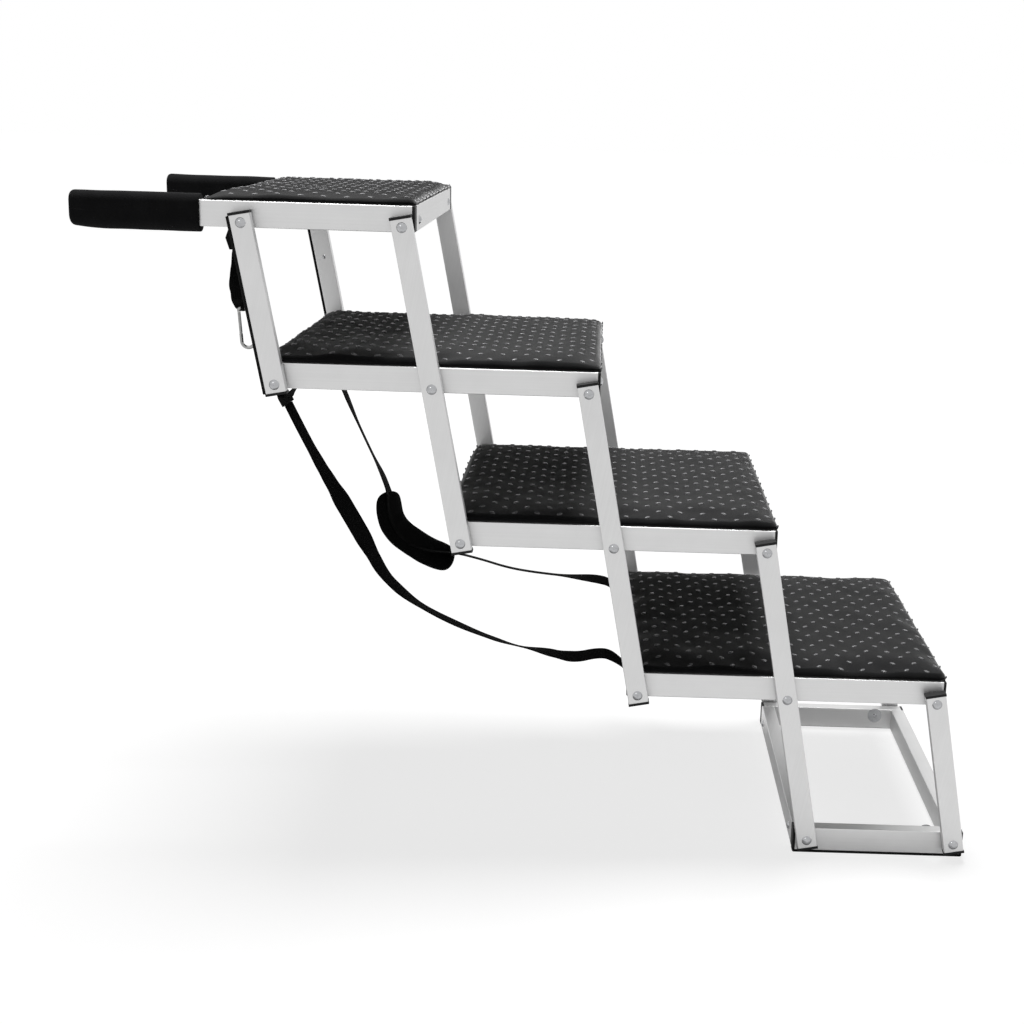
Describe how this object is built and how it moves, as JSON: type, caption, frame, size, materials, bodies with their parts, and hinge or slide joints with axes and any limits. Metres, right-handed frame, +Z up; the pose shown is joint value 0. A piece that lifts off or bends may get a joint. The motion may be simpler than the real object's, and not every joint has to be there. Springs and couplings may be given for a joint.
{
  "type": "folding pet stairs",
  "caption": "Folding four-step pet stairs of aluminium tube with padded black treads, parallel legs, foam handles, a hook tether and a carry strap.",
  "frame": {"origin": "centre of the underside of the top tread's rear cross rail, where it rests on a tailgate", "axes": "+Z up, +X from the handles down the stairs to the floor end, +Y to the far side"},
  "size_m": [0.9826, 0.462, 0.7151],
  "materials": {
    "frame_aluminium": "satin anodised",
    "corner_plastic": "matt",
    "rivet_steel": "bright",
    "deck_board": "matt",
    "mat_fabric": "woven with short light dashes",
    "foot_rubber": "matt",
    "grip_foam": "closed cell foam",
    "strap_webbing": "woven webbing",
    "pad_fabric": "woven cover",
    "slider_plastic": "matt",
    "hook_steel": "bright plated"
  },
  "bodies": {
    "step_1": {"step_1_side_rails": "frame_aluminium", "step_1_cross_rails": "frame_aluminium", "step_1_corner_blocks": "corner_plastic", "step_1_corner_rivets": "rivet_steel", "step_1_deck": "deck_board", "step_1_mat": "mat_fabric", "grip_near": "grip_foam", "grip_far": "grip_foam", "tether_loop": "strap_webbing"},
    "step_2": {"step_2_side_rails": "frame_aluminium", "step_2_cross_rails": "frame_aluminium", "step_2_corner_blocks": "corner_plastic", "step_2_corner_rivets": "rivet_steel", "step_2_deck": "deck_board", "step_2_mat": "mat_fabric", "carry_strap_near": "strap_webbing", "carry_strap_far": "strap_webbing", "shoulder_pad": "pad_fabric", "strap_top_loops": "strap_webbing", "strap_sliders": "slider_plastic"},
    "step_3": {"step_3_side_rails": "frame_aluminium", "step_3_cross_rails": "frame_aluminium", "step_3_corner_blocks": "corner_plastic", "step_3_corner_rivets": "rivet_steel", "step_3_deck": "deck_board", "step_3_mat": "mat_fabric"},
    "step_4": {"step_4_side_rails": "frame_aluminium", "step_4_cross_rails": "frame_aluminium", "step_4_corner_blocks": "corner_plastic", "step_4_corner_rivets": "rivet_steel", "step_4_deck": "deck_board", "step_4_mat": "mat_fabric", "strap_bottom_loops": "strap_webbing"},
    "base": {"base_side_rails": "frame_aluminium", "base_cross_rails": "frame_aluminium", "base_corner_blocks": "corner_plastic", "base_corner_rivets": "rivet_steel", "base_foot_strips": "foot_rubber"},
    "legs_a": {"legs_a_tubes": "frame_aluminium", "legs_a_caps": "corner_plastic", "legs_a_rivets": "rivet_steel", "legs_a_strips": "foot_rubber"},
    "legs_b": {"legs_b_tubes": "frame_aluminium", "legs_b_caps": "corner_plastic", "legs_b_rivets": "rivet_steel"},
    "legs_c": {"legs_c_tubes": "frame_aluminium", "legs_c_caps": "corner_plastic", "legs_c_rivets": "rivet_steel"},
    "legs_d": {"legs_d_tubes": "frame_aluminium", "legs_d_caps": "corner_plastic", "legs_d_rivets": "rivet_steel"},
    "legs_e": {"legs_e_tubes": "frame_aluminium", "legs_e_caps": "corner_plastic", "legs_e_rivets": "rivet_steel"},
    "tether": {"tether_slider": "slider_plastic", "tether_strap": "strap_webbing", "hook_body": "hook_steel"},
    "hook_gate": {"hook_gate": "hook_steel"}
  },
  "joints": [
    {"name": "fold", "type": "hinge", "parent": "step_1", "child": "legs_b", "pos_m": [0.193, 0, 0.006], "axis": [0, 1, 0], "range_deg": [0, 86.5], "deforming": ["carry_strap_near", "carry_strap_far", "shoulder_pad", "strap_top_loops", "strap_sliders", "strap_bottom_loops"]},
    {"name": "legs_a_hinge", "type": "hinge", "parent": "step_1", "child": "legs_a", "pos_m": [0.028, 0, 0.006], "axis": [0, 1, 0], "range_deg": [0, 86.5]},
    {"name": "step_2_hinge", "type": "hinge", "parent": "legs_b", "child": "step_2", "pos_m": [0.2245, 0, -0.16], "axis": [0, -1, 0], "range_deg": [0, 86.5]},
    {"name": "step_3_hinge", "type": "hinge", "parent": "legs_b", "child": "step_3", "pos_m": [0.256, 0, -0.326], "axis": [0, -1, 0], "range_deg": [0, 86.5]},
    {"name": "legs_c_hinge", "type": "hinge", "parent": "step_2", "child": "legs_c", "pos_m": [0.3895, 0, -0.16], "axis": [0, 1, 0], "range_deg": [0, 86.5]},
    {"name": "step_4_hinge", "type": "hinge", "parent": "legs_c", "child": "step_4", "pos_m": [0.4525, 0, -0.492], "axis": [0, -1, 0], "range_deg": [0, 86.5]},
    {"name": "legs_d_hinge", "type": "hinge", "parent": "step_3", "child": "legs_d", "pos_m": [0.586, 0, -0.326], "axis": [0, 1, 0], "range_deg": [0, 86.5]},
    {"name": "base_hinge", "type": "hinge", "parent": "legs_d", "child": "base", "pos_m": [0.649, 0, -0.658], "axis": [0, -1, 0], "range_deg": [0, 86.5]},
    {"name": "legs_e_hinge", "type": "hinge", "parent": "step_4", "child": "legs_e", "pos_m": [0.7825, 0, -0.492], "axis": [0, 1, 0], "range_deg": [0, 86.5]},
    {"name": "tether_swing", "type": "hinge", "parent": "step_1", "child": "tether", "pos_m": [0, -0.102, 0.0135], "axis": [0, 1, 0], "range_deg": [0, 100], "deforming": ["tether_loop"]},
    {"name": "gate_hinge", "type": "hinge", "parent": "tether", "child": "hook_gate", "pos_m": [-0.00018, -0.102, -0.1248], "axis": [0, 1, 0], "range_deg": [0, 14.5], "stiffness_Nm_per_rad": 0.02}
  ],
  "couplings": [
    {"joint": "legs_a_hinge", "follows": "fold", "ratio": 1},
    {"joint": "step_2_hinge", "follows": "fold", "ratio": 1},
    {"joint": "step_3_hinge", "follows": "fold", "ratio": 1},
    {"joint": "legs_c_hinge", "follows": "fold", "ratio": 1},
    {"joint": "step_4_hinge", "follows": "fold", "ratio": 1},
    {"joint": "legs_d_hinge", "follows": "fold", "ratio": 1},
    {"joint": "base_hinge", "follows": "fold", "ratio": 1},
    {"joint": "legs_e_hinge", "follows": "fold", "ratio": 1},
    {"joint": "tether_swing", "follows": "fold", "ratio": 1.15}
  ]
}
